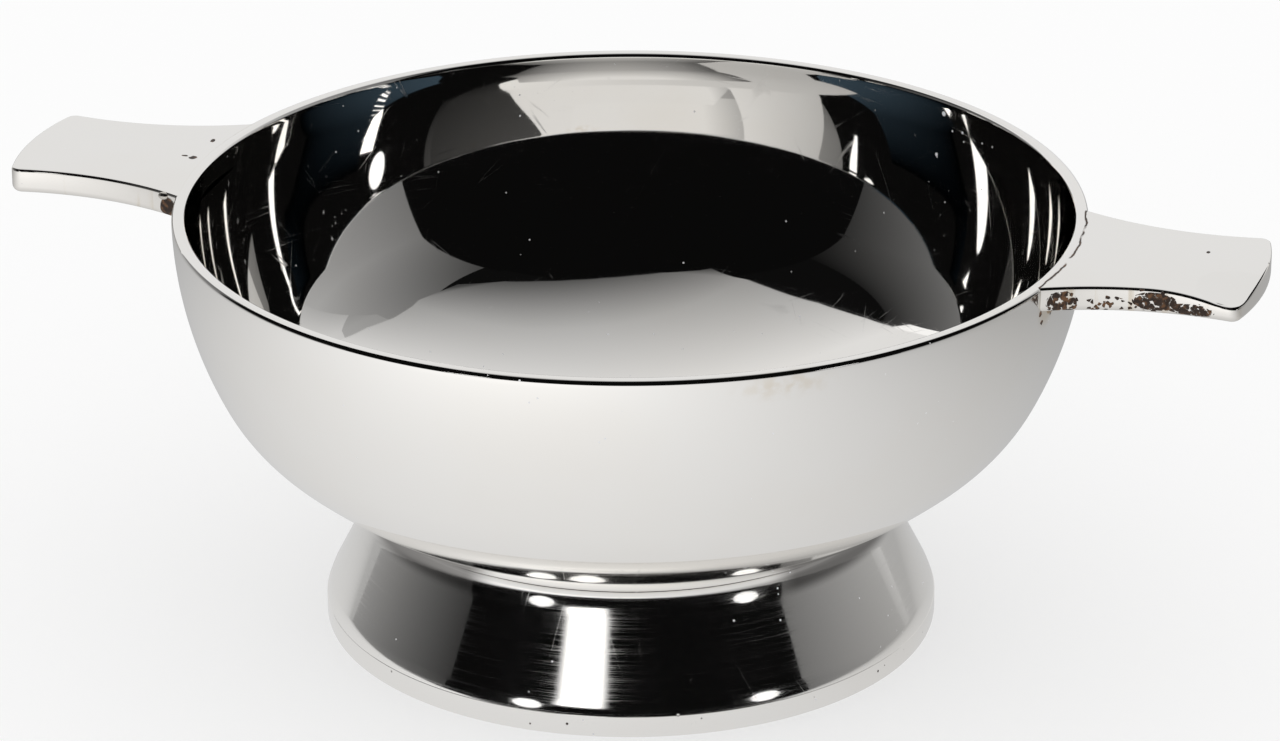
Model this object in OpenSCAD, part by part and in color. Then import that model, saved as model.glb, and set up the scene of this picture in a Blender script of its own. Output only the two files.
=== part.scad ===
// Quaich: a two-lugged drinking bowl on a spreading foot, in polished silver plate.
// Lengths are in millimetres and angles in degrees.
// It stands on Z = 0 with the bowl's axis on Z, and its two lugs lie along X.

/* [Bowl] */
// Diameter across the outside of the rim
bowl_diameter = 100; // [88:1:120]
// Height of the rim above the surface that the foot stands on
rim_height = 48.2; // [42:0.2:60]
// Thickness of the bowl's metal
bowl_wall = 1.5; // [1:0.1:2.5]
// Radius of the arc that runs down from the upright rim
side_radius = 43; // [36:0.5:60]
// Angle through which the arc below the rim turns
side_sweep = 26.5; // [20:0.5:32]
// Radius of the tighter arc that turns the side into the bottom
turn_radius = 19.8; // [14:0.2:28]
// Angle through which the tighter arc turns
turn_sweep = 22.5; // [16:0.5:28]
// Rounding of the two edges of the flat lip
lip_round = 0.4; // [0.2:0.05:0.5]

/* [Foot] */
// Diameter across the wire that the foot stands on
foot_diameter = 68.2; // [58:0.2:76]
// Thickness of the foot's metal
foot_wall = 1.1; // [0.8:0.1:1.8]
// Lean of the foot's straight side from the upright
foot_lean = 27; // [18:0.5:34]
// Radius of the curve that draws the side in above the wire
foot_edge_radius = 6; // [3:0.5:10]
// Angle through which that curve turns
foot_edge_sweep = 15; // [5:1:18]
// Radius of the hollow neck that meets the bowl
neck_radius = 2; // [1:0.1:4]
// Height of the square wire under the foot's edge
wire_height = 2.5; // [1.5:0.1:4]
// Width of the square wire across the ring
wire_width = 2.2; // [1.8:0.1:3.5]
// Width of the ledge that the wire leaves outside the foot's edge
wire_ledge = 0.1; // [0.05:0.05:0.3]
// Rounding of the wire's lower edges
wire_round = 0.35; // [0.2:0.05:0.6]

/* [Lugs] */
// Length of a lug from the rim to its tip
lug_length = 20.4; // [16:0.2:28]
// Thickness of a lug
lug_thickness = 2.9; // [2:0.1:4]
// Width of a lug at its waist
lug_waist = 17.2; // [13:0.2:22]
// Distance of the waist from the tip
lug_waist_from_tip = 7.7; // [5:0.1:10]
// Radius of the hollow sides
lug_side_radius = 33; // [26:1:50]
// Radius of the bowed tip
lug_tip_radius = 32; // [20:1:50]
// Radius of the corners at the tip
lug_corner_radius = 1.2; // [0.6:0.1:2]
// Rounding of the edges along the top and the underside
lug_edge_round = 0.5; // [0.3:0.05:0.8]

/* [Solder] */
// Radius of the fillet inside the foot, under the bowl
foot_fillet = 1.8; // [1.4:0.1:2.6]
// Radius of the fillet under each lug's root
lug_fillet = 1.5; // [0.8:0.1:2.5]

/* [Hidden] */

silver = [0.86, 0.85, 0.82];
solder_grey = [0.66, 0.64, 0.60];

// Facets of a full turn, and of the circles that a profile is drawn with
$fn = 180;
profile_facets = 720;
// How far a cutting shape runs past what it cuts
clear = 1;
// How far a wedge runs from the centre of its arc, in radii of the arc
wedge_reach = 2;

function polar(centre, radius, angle) = centre + radius * [cos(angle), sin(angle)];
function heading(from, to) = atan2(to.y - from.y, to.x - from.x);

// The bowl's outer profile: three arcs that run into each other, the last one centred on the axis
bowl_radius = bowl_diameter / 2;
side_centre = [bowl_radius - side_radius, rim_height];
turn_centre = polar(side_centre, side_radius - turn_radius, -side_sweep);
bottom_angle = side_sweep + turn_sweep;
bottom_start = polar(turn_centre, turn_radius, -bottom_angle);
bottom_radius = bottom_start.x / cos(bottom_angle);
bottom_centre = [0, bottom_start.y + bottom_radius * sin(bottom_angle)];

// The foot's outer profile: a short curve above the wire, then a straight side up to the bowl
foot_radius = foot_diameter / 2;
foot_edge = [foot_radius - wire_ledge, wire_height];
foot_edge_angle = foot_lean - foot_edge_sweep;
foot_edge_centre = polar(foot_edge, -foot_edge_radius, foot_edge_angle);
foot_side_start = polar(foot_edge_centre, foot_edge_radius, foot_lean);
foot_up = [-sin(foot_lean), cos(foot_lean)];
foot_out = [cos(foot_lean), sin(foot_lean)];

// Centre of a circle that touches the bowl from below, on a line beside the foot's straight side
function under_bowl(offset, radius) =
    let (start = foot_side_start + offset * foot_out,
         arm = start - bottom_centre,
         along = arm * foot_up,
         reach = bottom_radius + radius)
    start + (-along - sqrt(along * along - arm * arm + reach * reach)) * foot_up;

foot_side_end = under_bowl(0, 0) + (clear + foot_wall) * foot_up;
neck_centre = under_bowl(neck_radius, neck_radius);
foot_fillet_centre = under_bowl(-foot_wall - foot_fillet, foot_fillet);

// A hollow curve stops this many degrees short of running out to nothing on the bowl
feather = 20;

// A lug's plan: hollow sides, a bowed tip and two round corners
lug_reach = bowl_radius + lug_length;
lug_waist_x = lug_reach - lug_waist_from_tip;
lug_side_centre = [lug_waist_x, lug_waist / 2 + lug_side_radius];
lug_tip_centre = [lug_reach - lug_tip_radius, 0];
lug_root_x = bowl_radius - lug_waist / 2;
// The corner arc stands this share of its radius proud of the tip and side, so that it crosses both
corner_proud = 0.03;
corner_bite = lug_corner_radius * (1 - corner_proud);
corner_from_tip = lug_tip_radius - corner_bite;
corner_from_side = lug_side_radius + corner_bite;
tip_to_side = norm(lug_side_centre - lug_tip_centre);
corner_turn = acos((corner_from_tip ^ 2 + tip_to_side ^ 2 - corner_from_side ^ 2)
                   / (2 * corner_from_tip * tip_to_side));
lug_corner_centre = polar(lug_tip_centre, corner_from_tip,
                          heading(lug_tip_centre, lug_side_centre) - corner_turn);
function lug_half_width(x) =
    lug_side_centre.y - sqrt(lug_side_radius ^ 2 - (x - lug_waist_x) ^ 2);

// The fillet under a lug's root lies between the lug's underside and the bowl's side
lug_under = rim_height - lug_thickness;
lug_fillet_drop = lug_thickness + lug_fillet;
lug_fillet_centre = [side_centre.x + sqrt((side_radius + lug_fillet) ^ 2 - lug_fillet_drop ^ 2),
                     rim_height - lug_fillet_drop];
lug_fillet_half_width = lug_half_width(lug_fillet_centre.x) - lug_edge_round;
lug_fillet_half_angle = asin(lug_fillet_half_width / lug_fillet_centre.x);

// A rounded edge is an arc through the points one rounding away from the corner.
// Its centre lies a little deeper than a tangent arc's would, so that it crosses both faces.
edge_depth = 1.27;
edge_arc = sqrt(edge_depth ^ 2 + (edge_depth - 1) ^ 2);

// Profile and plan shapes

module arc_disc(centre, radius) {
    translate(centre)
        circle(r = radius, $fn = profile_facets);
}

// A slice of a disc between two headings
module slice(centre, radius, from, to) {
    reach = wedge_reach * radius;
    intersection() {
        arc_disc(centre, radius);
        polygon([centre, polar(centre, reach, from), polar(centre, reach, to)]);
    }
}

// What is left in a corner beside a hollow curve between two headings
module hollow_corner(centre, radius, from, to) {
    reach = wedge_reach * radius;
    difference() {
        polygon([centre, polar(centre, reach, from),
                 polar(centre, reach, (from + to) / 2), polar(centre, reach, to)]);
        arc_disc(centre, radius);
    }
}

// Takes off a sharp corner at the origin of a shape that lies towards -X and -Y
module edge_cutter(size) {
    depth = edge_depth * size;
    translate([-depth, -depth])
        difference() {
            square(2 * depth);
            arc_disc([0, 0], edge_arc * size);
        }
}

// The bowl's filled half profile, drawn in from the outside by inset and raised over the rim
module bowl_outline(inset = 0, over = clear) {
    intersection() {
        union() {
            slice(side_centre, side_radius - inset, -side_sweep, 0);
            arc_disc(turn_centre, turn_radius - inset);
            slice(bottom_centre, bottom_radius - inset, -90, -bottom_angle);
            translate([0, rim_height])
                square([bowl_radius - inset, over]);
        }
        square([bowl_radius, rim_height + over]);
    }
}

module bowl_profile() {
    difference() {
        bowl_outline();
        bowl_outline(bowl_wall, 2 * clear);
        translate([0, rim_height])
            square([bowl_radius + clear, 2 * clear]);
        translate([bowl_radius, rim_height])
            edge_cutter(lip_round);
        translate([bowl_radius - bowl_wall, rim_height])
            mirror([1, 0])
                edge_cutter(lip_round);
    }
}

// The foot's filled half profile, drawn in from the outside by inset
module foot_outline(inset = 0) {
    radius = foot_edge_radius - inset;
    side_end = foot_side_end - inset * foot_out;
    slice(foot_edge_centre, radius, foot_edge_angle, foot_lean);
    polygon([[0, wire_height - clear],
             polar(foot_edge_centre, radius, foot_edge_angle),
             polar(foot_edge_centre, radius, foot_lean),
             side_end,
             [0, side_end.y]]);
}

module foot_profile() {
    difference() {
        foot_outline();
        foot_outline(foot_wall);
        bowl_outline();
        translate([0, wire_height - 2 * clear])
            square([foot_radius + clear, 2 * clear]);
    }
    difference() {
        hollow_corner(neck_centre, neck_radius,
                      heading(neck_centre, bottom_centre) + feather, foot_lean + 180);
        foot_outline(foot_wall);
        bowl_outline();
    }
}

module wire_profile() {
    inner_radius = foot_radius - wire_width;
    difference() {
        translate([inner_radius, 0])
            square([wire_width, wire_height]);
        translate([foot_radius, 0])
            mirror([0, 1])
                edge_cutter(wire_round);
        translate([inner_radius, 0])
            mirror([1, 0])
                mirror([0, 1])
                    edge_cutter(wire_round);
    }
}

module foot_solder_profile() {
    difference() {
        hollow_corner(foot_fillet_centre, foot_fillet,
                      foot_lean + feather, heading(foot_fillet_centre, bottom_centre) - feather);
        foot_profile();
        bowl_outline();
    }
}

module lug_solder_profile() {
    difference() {
        hollow_corner(lug_fillet_centre, lug_fillet,
                      90 + feather, heading(lug_fillet_centre, side_centre) - feather);
        bowl_outline();
        translate([0, lug_under])
            square([lug_reach, lug_thickness]);
    }
}

module lug_plan() {
    difference() {
        intersection() {
            arc_disc(lug_tip_centre, lug_tip_radius);
            translate([lug_root_x, -lug_side_centre.y])
                square([lug_reach, 2 * lug_side_centre.y]);
        }
        for (turn = [0, 1])
            mirror([0, turn]) {
                arc_disc(lug_side_centre, lug_side_radius);
                hollow_corner(lug_corner_centre, lug_corner_radius,
                              heading(lug_tip_centre, lug_corner_centre),
                              heading(lug_corner_centre, lug_side_centre));
            }
    }
}

// Rings that round the edges of a lug along its sides and its tip, at its top face
module lug_edge_rings() {
    for (turn = [0, 1])
        mirror([0, turn])
            translate(lug_side_centre)
                rotate_extrude()
                    translate([lug_side_radius, 0])
                        mirror([1, 0])
                            edge_cutter(lug_edge_round);
    translate(lug_tip_centre)
        rotate_extrude()
            translate([lug_tip_radius, 0])
                edge_cutter(lug_edge_round);
}

// Sub-parts

module bowl() {
    color(silver)
        rotate_extrude()
            bowl_profile();
}

module foot() {
    color(silver)
        rotate_extrude()
            foot_profile();
}

module foot_wire() {
    color(silver)
        rotate_extrude()
            wire_profile();
}

module foot_solder() {
    color(solder_grey)
        rotate_extrude()
            foot_solder_profile();
}

// A lug on the +X side, cut to fit round the bowl with its top level with the rim
module lug() {
    color(silver)
        difference() {
            translate([0, 0, lug_under])
                linear_extrude(lug_thickness)
                    lug_plan();
            rotate_extrude()
                bowl_outline();
            translate([0, 0, rim_height])
                lug_edge_rings();
            translate([0, 0, lug_under])
                mirror([0, 0, 1])
                    lug_edge_rings();
        }
}

module lug_solder() {
    color(solder_grey)
        rotate([0, 0, -lug_fillet_half_angle])
            rotate_extrude(angle = 2 * lug_fillet_half_angle)
                lug_solder_profile();
}

module right_lug() {
    lug();
}

module left_lug() {
    rotate([0, 0, 180])
        lug();
}

module right_lug_solder() {
    lug_solder();
}

module left_lug_solder() {
    rotate([0, 0, 180])
        lug_solder();
}

bowl();
foot();
foot_wire();
foot_solder();
right_lug();
left_lug();
right_lug_solder();
left_lug_solder();
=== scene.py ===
# %% [markdown]
# # A silver-plated quaich
# A quaich is a shallow drinking bowl with two flat lugs. This one is spun and cast in white
# metal, soldered together, silver plated and polished like a mirror. The CAD frame gives every
# size and place. Here each piece is modelled again with a mesh fine enough for mirror
# reflections, and is given a worn silver finish and a small product studio.

# %% Load the frame and keep its box
import math

import bmesh
import bpy
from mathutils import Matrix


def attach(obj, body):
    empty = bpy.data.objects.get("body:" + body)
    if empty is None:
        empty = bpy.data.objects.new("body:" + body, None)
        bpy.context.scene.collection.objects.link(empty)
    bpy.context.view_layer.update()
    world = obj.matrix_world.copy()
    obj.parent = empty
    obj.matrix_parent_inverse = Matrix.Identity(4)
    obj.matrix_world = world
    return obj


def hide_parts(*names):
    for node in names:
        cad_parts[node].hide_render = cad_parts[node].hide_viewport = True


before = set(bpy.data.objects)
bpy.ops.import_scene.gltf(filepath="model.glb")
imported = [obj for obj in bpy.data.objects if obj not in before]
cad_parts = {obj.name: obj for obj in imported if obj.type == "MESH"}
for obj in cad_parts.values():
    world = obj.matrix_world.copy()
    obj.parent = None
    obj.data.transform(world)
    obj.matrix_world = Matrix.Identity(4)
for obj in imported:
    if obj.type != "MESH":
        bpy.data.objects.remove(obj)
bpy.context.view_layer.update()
MM = 0.001
print("CAD nodes:", sorted(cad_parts))

# %% [markdown]
# ## Drawing a profile
# A spun bowl is a turned shape: a profile carried round an axis. The profile is drawn as by hand.
# A tiny plane is merged to one vertex, which works as a pen. Spin carries the pen round a centre,
# which draws a true arc, and extrude draws a straight line. A curve could be traced instead, but
# arcs made this way have evenly spaced points, and a mirror shows at once where they are uneven.

# %% Pen, line and arc
def start_pen(name, x, y, z):
    bpy.ops.object.select_all(action="DESELECT")
    bpy.ops.mesh.primitive_plane_add(size=MM)
    piece = bpy.context.object
    piece.name = piece.data.name = name
    bpy.ops.object.mode_set(mode="EDIT")
    bpy.ops.mesh.select_mode(type="VERT")
    bpy.ops.mesh.select_all(action="SELECT")
    bpy.ops.mesh.merge(type="CENTER")
    bpy.ops.transform.translate(value=(x * MM, y * MM, z * MM))
    return piece


def pen_place():
    points = bmesh.from_edit_mesh(bpy.context.object.data).verts
    return next(p.co for p in points if p.select) / MM


def line_to(x, z):
    here = pen_place()
    bpy.ops.mesh.extrude_vertices_move(
        TRANSFORM_OT_translate={"value": ((x - here.x) * MM, 0, (z - here.z) * MM)})


def upright_arc(centre, degrees, steps):
    """Carry the pen round a centre, anticlockwise as seen from the front."""
    bpy.ops.mesh.spin(steps=steps, angle=math.radians(degrees), axis=(0, 1, 0),
                      center=(centre[0] * MM, 0, centre[1] * MM))


# %% [markdown]
# ## Turning a profile
# A last spin round the upright axis turns the whole line into a body. Points that lie on each
# other are merged, which closes the seam and the poles, and the faces are turned outwards. Faces
# that meet at less than the crease angle are shaded as one surface, and sharper edges stay crisp.

# %% Join, smooth and turn
JOIN_WITHIN = 1e-7
ROUND_STEPS = 256


def join_points():
    bpy.ops.mesh.select_all(action="SELECT")
    bpy.ops.mesh.remove_doubles(threshold=JOIN_WITHIN)


def clean_and_smooth(piece, crease=30):
    join_points()
    bpy.ops.mesh.normals_make_consistent(inside=False)
    bpy.ops.object.mode_set(mode="OBJECT")
    bpy.ops.object.shade_smooth_by_angle(angle=math.radians(crease))
    print(piece.name, "faces:", len(piece.data.polygons),
          "size in mm:", [round(side / MM, 2) for side in piece.dimensions])


def turn_round(piece):
    bpy.ops.mesh.select_all(action="SELECT")
    bpy.ops.mesh.spin(steps=ROUND_STEPS, angle=2 * math.pi, center=(0, 0, 0), axis=(0, 0, 1),
                      use_auto_merge=True)
    clean_and_smooth(piece)


# %% [markdown]
# ## The bowl
# The real bowl is spun from a disc of sheet over a wooden form, so that its wall is about equally
# thick all over. Its outside is three arcs that run into each other: a long one down from the
# rim, a tighter one that turns the side in, and a flat one across the bottom. The inside is the
# same three arcs, drawn in by the wall. The flat lip has two rounded edges. A sphere could be cut
# and pressed into shape instead, but its curve would have kinks, and a mirror would show them.

# %% Work out the bowl's arcs
def polar(centre, radius, degrees):
    turn = math.radians(degrees)
    return centre[0] + radius * math.cos(turn), centre[1] + radius * math.sin(turn)


rim_height = 48.2
rim_radius = 50.0
side_centre, side_radius, side_sweep = (7.0, rim_height), 43.0, 26.5
turn_radius, turn_sweep = 19.8, 22.5
turn_centre = polar(side_centre, side_radius - turn_radius, -side_sweep)
bottom_angle = side_sweep + turn_sweep
bottom_sweep = 90 - bottom_angle
bottom_start = polar(turn_centre, turn_radius, -bottom_angle)
bottom_radius = bottom_start[0] / math.cos(math.radians(bottom_angle))
bottom_centre = (0.0, bottom_start[1] + bottom_radius * math.sin(math.radians(bottom_angle)))
bottom_height = bottom_centre[1] - bottom_radius
print("bottom arc in mm, radius:", round(bottom_radius, 2), "height:", round(bottom_height, 2))

# %% Spin the bowl
wall = 1.5
lip_round = 0.55
lip_drop = math.degrees(math.asin(lip_round / side_radius))
inner_drop = math.degrees(math.atan2(lip_round, side_radius - wall))
inner_lip_radius = rim_radius - wall + lip_round
bottom_steps, turn_steps, side_steps, lip_steps = 36, 26, 40, 12
bowl = start_pen("quaich_bowl", 0, 0, bottom_height)
upright_arc(bottom_centre, bottom_sweep, bottom_steps)
upright_arc(turn_centre, turn_sweep, turn_steps)
upright_arc(side_centre, side_sweep - lip_drop, side_steps)
upright_arc((rim_radius - lip_round, rim_height - lip_round), 90, lip_steps)
line_to(inner_lip_radius, rim_height)
upright_arc((inner_lip_radius, rim_height - lip_round), 90, lip_steps)
upright_arc(side_centre, inner_drop - side_sweep, side_steps)
upright_arc(turn_centre, -turn_sweep, turn_steps)
upright_arc(bottom_centre, -bottom_sweep, bottom_steps)
turn_round(bowl)
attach(bowl, "root")
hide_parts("bowl")

# %% [markdown]
# ## The foot
# The foot is a hollow spun cone. Its side is straight, draws in with a short curve above the base
# and runs up into a small hollow neck under the bowl. A cone and a bevel could do, but the neck is
# two arcs, a slow one that opens the side a little and a tight one that meets the bowl, because
# the lamps show twice there. So the closed section is drawn once round, the outside upwards and
# the inside downwards, and is turned.

# %% Find where a circle on the foot's side touches the bowl
foot_lean = 27.0


def touch_bowl(start, radius):
    """Move a circle's centre up along the foot's side until the circle touches the bowl."""
    up = polar((0, 0), 1, foot_lean + 90)
    arm = start[0] - bottom_centre[0], start[1] - bottom_centre[1]
    along = arm[0] * up[0] + arm[1] * up[1]
    reach = bottom_radius + radius
    rise = -along - math.sqrt(along ** 2 - arm[0] ** 2 - arm[1] ** 2 + reach ** 2)
    return start[0] + rise * up[0], start[1] + rise * up[1]


def heading(start, end):
    return math.degrees(math.atan2(end[1] - start[1], end[0] - start[0]))


# %% Work out the foot's arcs
foot_radius, foot_wall = 34.1, 1.1
wire_height, wire_ledge = 2.5, 0.05
edge_radius, edge_sweep = 7.5, 13.0
flare_radius, flare_sweep = 9.0, 15.5
neck_radius, neck_feather = 0.8, 20.0
edge_start = (foot_radius - wire_ledge, wire_height)
edge_centre = polar(edge_start, -edge_radius, foot_lean - edge_sweep)
side_start = polar(edge_centre, edge_radius, foot_lean)
flare_lean = foot_lean - flare_sweep
neck_offset = polar(polar(side_start, flare_radius, foot_lean),
                    neck_radius - flare_radius, flare_lean)
neck_centre = touch_bowl(neck_offset, neck_radius)
flare_centre = polar(neck_centre, flare_radius - neck_radius, flare_lean)
flare_start = polar(flare_centre, -flare_radius, foot_lean)
neck_turn = flare_lean + 180 - heading(neck_centre, bottom_centre) - neck_feather
inner_top = touch_bowl(polar(side_start, -foot_wall, foot_lean), 0)
inner_side_start = polar(edge_centre, edge_radius - foot_wall, foot_lean)
print("flare starts at mm:", [round(part, 2) for part in flare_start])

# %% Spin the foot
foot = start_pen("quaich_foot", edge_start[0], 0, edge_start[1])
upright_arc(edge_centre, edge_sweep, steps=12)
line_to(*flare_start)
upright_arc(flare_centre, -flare_sweep, steps=12)
upright_arc(neck_centre, -neck_turn, steps=14)
line_to(*inner_top)
line_to(*inner_side_start)
upright_arc(edge_centre, -edge_sweep, steps=6)
line_to(*edge_start)
turn_round(foot)
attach(foot, "root")
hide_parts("foot")

# %% [markdown]
# ## The base wire
# The foot stands on a ring of square wire, soldered under its edge. Its lower edges are worn
# round. Its upper outer edge is left crisp, because the photo shows a sharp line there. A torus
# is round in section, so the square section is drawn with the pen and turned as the foot was.

# %% Spin the base wire
wire_width, wire_round = 2.2, 0.35
inner_radius = foot_radius - wire_width
foot_wire = start_pen("quaich_foot_wire", inner_radius + wire_round, 0, 0)
line_to(foot_radius - wire_round, 0)
upright_arc((foot_radius - wire_round, wire_round), 90, steps=6)
line_to(foot_radius, wire_height - wire_ledge)
upright_arc((foot_radius - wire_ledge, wire_height - wire_ledge), 90, steps=3)
line_to(inner_radius, wire_height)
line_to(inner_radius, wire_round)
upright_arc((inner_radius + wire_round, wire_round), 90, steps=6)
turn_round(foot_wire)
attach(foot_wire, "root")
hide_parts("foot_wire")

# %% [markdown]
# ## The solder inside the foot
# Solder is drawn into the corner between the foot and the bowl and sets in a hollow fillet. Its
# arc stops short of both walls, because an arc that touches them would end in faces too thin to
# shade. It is turned like the other rings.

# %% Spin the solder ring
foot_fillet = 1.8
ring_centre = touch_bowl(polar(side_start, -foot_wall - foot_fillet, foot_lean), foot_fillet)
ring_from = foot_lean + neck_feather
ring_to = heading(ring_centre, bottom_centre) - neck_feather
ring_start = polar(ring_centre, foot_fillet, ring_from)
foot_solder = start_pen("foot_solder_ring", ring_start[0], 0, ring_start[1])
upright_arc(ring_centre, ring_to - ring_from, steps=12)
line_to(*inner_top)
line_to(*ring_start)
turn_round(foot_solder)
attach(foot_solder, "root")
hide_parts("foot_solder")

# %% [markdown]
# ## The lugs
# Each lug is a flat casting with hollow sides and a bowed tip. A cube could be cut to this plan,
# but six level arcs drawn with the pen give it exactly. The points where the arcs meet come from
# circles that cross. The outline is filled and drawn down to the lug's thickness. The root runs a
# little way into the rim, as the solder there is filed flush.

# %% Find where the lug's arcs meet
lug_reach = 70.4
lug_side_centre, lug_side_radius = (62.7, 41.6), 33.0
lug_tip_radius = 32.0
lug_tip_centre = (lug_reach - lug_tip_radius, 0.0)
lug_corner_radius = 1.2
lug_root_radius = 49.55


def meet(first, first_radius, second, second_radius):
    """The point where two circles cross, on the right of the way from the first to the second."""
    gap = math.dist(first, second)
    along = (gap ** 2 + first_radius ** 2 - second_radius ** 2) / (2 * gap)
    turn = math.degrees(math.acos(along / first_radius))
    return polar(first, first_radius, heading(first, second) - turn)


lug_corner = meet(lug_tip_centre, lug_tip_radius - lug_corner_radius,
                  lug_side_centre, lug_side_radius + lug_corner_radius)
lug_root = meet((0.0, 0.0), lug_root_radius, lug_side_centre, lug_side_radius)
side_turn = heading(lug_side_centre, lug_root) - heading(lug_side_centre, lug_corner)
side_turn = (side_turn + 180) % 360 - 180
corner_turn = heading(lug_corner, lug_side_centre) - heading(lug_tip_centre, lug_corner)
tip_turn = 2 * heading(lug_tip_centre, lug_corner)
root_turn = 2 * heading((0, 0), lug_root)
print("lug's root and corner at mm:", [round(part, 2) for part in lug_root + lug_corner])

# %% Draw the lug and give it thickness
lug_thickness = 2.9
lug_under = rim_height - lug_thickness
hollow_steps, corner_steps, end_steps = 40, 8, 32


def level_arc(centre, degrees, steps):
    """Carry the pen round a centre at the rim's height, anticlockwise as seen from above."""
    bpy.ops.mesh.spin(steps=steps, angle=math.radians(degrees), axis=(0, 0, -1),
                      center=(centre[0] * MM, centre[1] * MM, rim_height * MM))


right_lug = start_pen("quaich_right_lug", lug_root[0], -lug_root[1], rim_height)
level_arc((lug_side_centre[0], -lug_side_centre[1]), side_turn, hollow_steps)
level_arc((lug_corner[0], -lug_corner[1]), corner_turn, corner_steps)
level_arc(lug_tip_centre, tip_turn, end_steps)
level_arc(lug_corner, corner_turn, corner_steps)
level_arc(lug_side_centre, side_turn, hollow_steps)
level_arc((0, 0), -root_turn, end_steps)
join_points()
bpy.ops.mesh.edge_face_add()
bpy.ops.mesh.extrude_region_move(TRANSFORM_OT_translate={"value": (0, 0, -lug_thickness * MM)})
bpy.ops.mesh.select_all(action="SELECT")
bpy.ops.mesh.normals_make_consistent(inside=False)
print("lug's faces before its edges:", len(bmesh.from_edit_mesh(right_lug.data).faces))

# %% [markdown]
# ## The lugs' edges
# The edges that a thumb meets are rounded, less above than below. Bevel does it in one step on the
# edges that code selects by their height. The edges at the root are left, because the rim covers
# them. A narrow inset then holds the flat faces flat up to the bevel.

# %% Round the lug's edges
near_enough = 0.01
flat_enough = 0.9999
lug_crease = 25
top_round, under_round, inset_width = 0.34, 0.8, 0.1


def select_thumb_edges(piece, height):
    """Select the level edges at one height that are clear of the root."""
    bpy.ops.mesh.select_mode(type="EDGE")
    bpy.ops.mesh.select_all(action="DESELECT")
    shape = bmesh.from_edit_mesh(piece.data)
    for edge in shape.edges:
        ends = [point.co / MM for point in edge.verts]
        at_height = all(abs(end.z - height) < near_enough for end in ends)
        clear_of_root = any(math.hypot(end.x, end.y) > lug_root_radius + near_enough
                            for end in ends)
        edge.select_set(at_height and clear_of_root)
    bmesh.update_edit_mesh(piece.data)
    return sum(edge.select for edge in shape.edges)


for edge_height, edge_round, segments in ((rim_height, top_round, 5), (lug_under, under_round, 8)):
    count = select_thumb_edges(right_lug, edge_height)
    bpy.ops.mesh.bevel(offset=edge_round * MM, segments=segments, affect="EDGES")
    print("edges rounded to", edge_round, "mm:", count)
bpy.ops.mesh.select_mode(type="FACE")
bpy.ops.mesh.select_all(action="DESELECT")
for face in bmesh.from_edit_mesh(right_lug.data).faces:
    face.select_set(abs(face.normal.z) > flat_enough)
bpy.ops.mesh.inset(thickness=inset_width * MM, use_even_offset=True)
clean_and_smooth(right_lug, lug_crease)

# %% [markdown]
# ## The left lug
# Both lugs come from one mould, so the left one is a copy with its own mesh. It is turned half
# round in edit mode, so that its object stays unturned. A mirrored copy would be inside out.

# %% Copy the lug
def pick(piece):
    bpy.ops.object.select_all(action="DESELECT")
    piece.select_set(True)
    bpy.context.view_layer.objects.active = piece


def half_turned_copy(piece, name):
    pick(piece)
    bpy.ops.object.duplicate()
    copy = bpy.context.object
    copy.name = copy.data.name = name
    bpy.ops.object.mode_set(mode="EDIT")
    bpy.ops.mesh.select_all(action="SELECT")
    bpy.ops.transform.rotate(value=math.pi, orient_axis="Z", center_override=(0, 0, 0))
    bpy.ops.object.mode_set(mode="OBJECT")
    print(copy.name, "is a copy of", piece.name)
    return copy


left_lug = half_turned_copy(right_lug, "quaich_left_lug")
for lug, node in ((right_lug, "right_lug"), (left_lug, "left_lug")):
    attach(lug, "root")
    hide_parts(node)

# %% [markdown]
# ## Wear on the right lug
# The front corner of the right lug's tip is rubbed down by years of thumbs. Sculpting needs a
# hand, so the top is cut into small faces with bisect, the lower half is hidden, and the corner is
# pushed down with proportional editing, which takes less and less of the top along with it.

# %% Cut the top into small faces
cut_count, cut_spacing = 7, 1.5
first_cuts = (lug_reach - 1, -8.2)
pick(right_lug)
bpy.ops.object.mode_set(mode="EDIT")
bpy.ops.mesh.select_mode(type="FACE")
for number in range(cut_count):
    for spot, way in (((first_cuts[0] - cut_spacing * number, 0, 0), (1, 0, 0)),
                      ((0, first_cuts[1] + cut_spacing * number, 0), (0, 1, 0))):
        bpy.ops.mesh.select_all(action="DESELECT")
        for face in bmesh.from_edit_mesh(right_lug.data).faces:
            face.select_set(face.normal.z > flat_enough)
        bpy.ops.mesh.bisect(plane_co=[part * MM for part in spot], plane_no=way)
print("faces after the cuts:", len(bmesh.from_edit_mesh(right_lug.data).faces))

# %% Rub down one corner
rub_depth, rub_reach = 1.05, 8.0
rub_floor = rim_height - 1.2
rub_spread = lug_corner_radius + 0.1
bpy.ops.mesh.select_mode(type="VERT")


def select_points(piece, wanted):
    bpy.ops.mesh.select_all(action="DESELECT")
    shape = bmesh.from_edit_mesh(piece.data)
    for point in shape.verts:
        point.select_set(wanted(point.co / MM))
    shape.select_flush(False)
    return sum(point.select for point in shape.verts)


def at_front_corner(point):
    from_corner = math.dist((point.x, point.y), (lug_corner[0], -lug_corner[1]))
    return point.z > rub_floor and from_corner < rub_spread


select_points(right_lug, lambda point: point.z < rub_floor)
bpy.ops.mesh.hide(unselected=False)
rubbed_points = select_points(right_lug, at_front_corner)
bpy.ops.transform.translate(value=(0, 0, -rub_depth * MM), use_proportional_edit=True,
                            proportional_edit_falloff="SHARP", proportional_size=rub_reach * MM)
bpy.ops.mesh.reveal(select=False)
bpy.ops.object.mode_set(mode="OBJECT")
bpy.ops.object.shade_smooth_by_angle(angle=math.radians(lug_crease))
print("points rubbed down:", rubbed_points, "faces:", len(right_lug.data.polygons))

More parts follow.
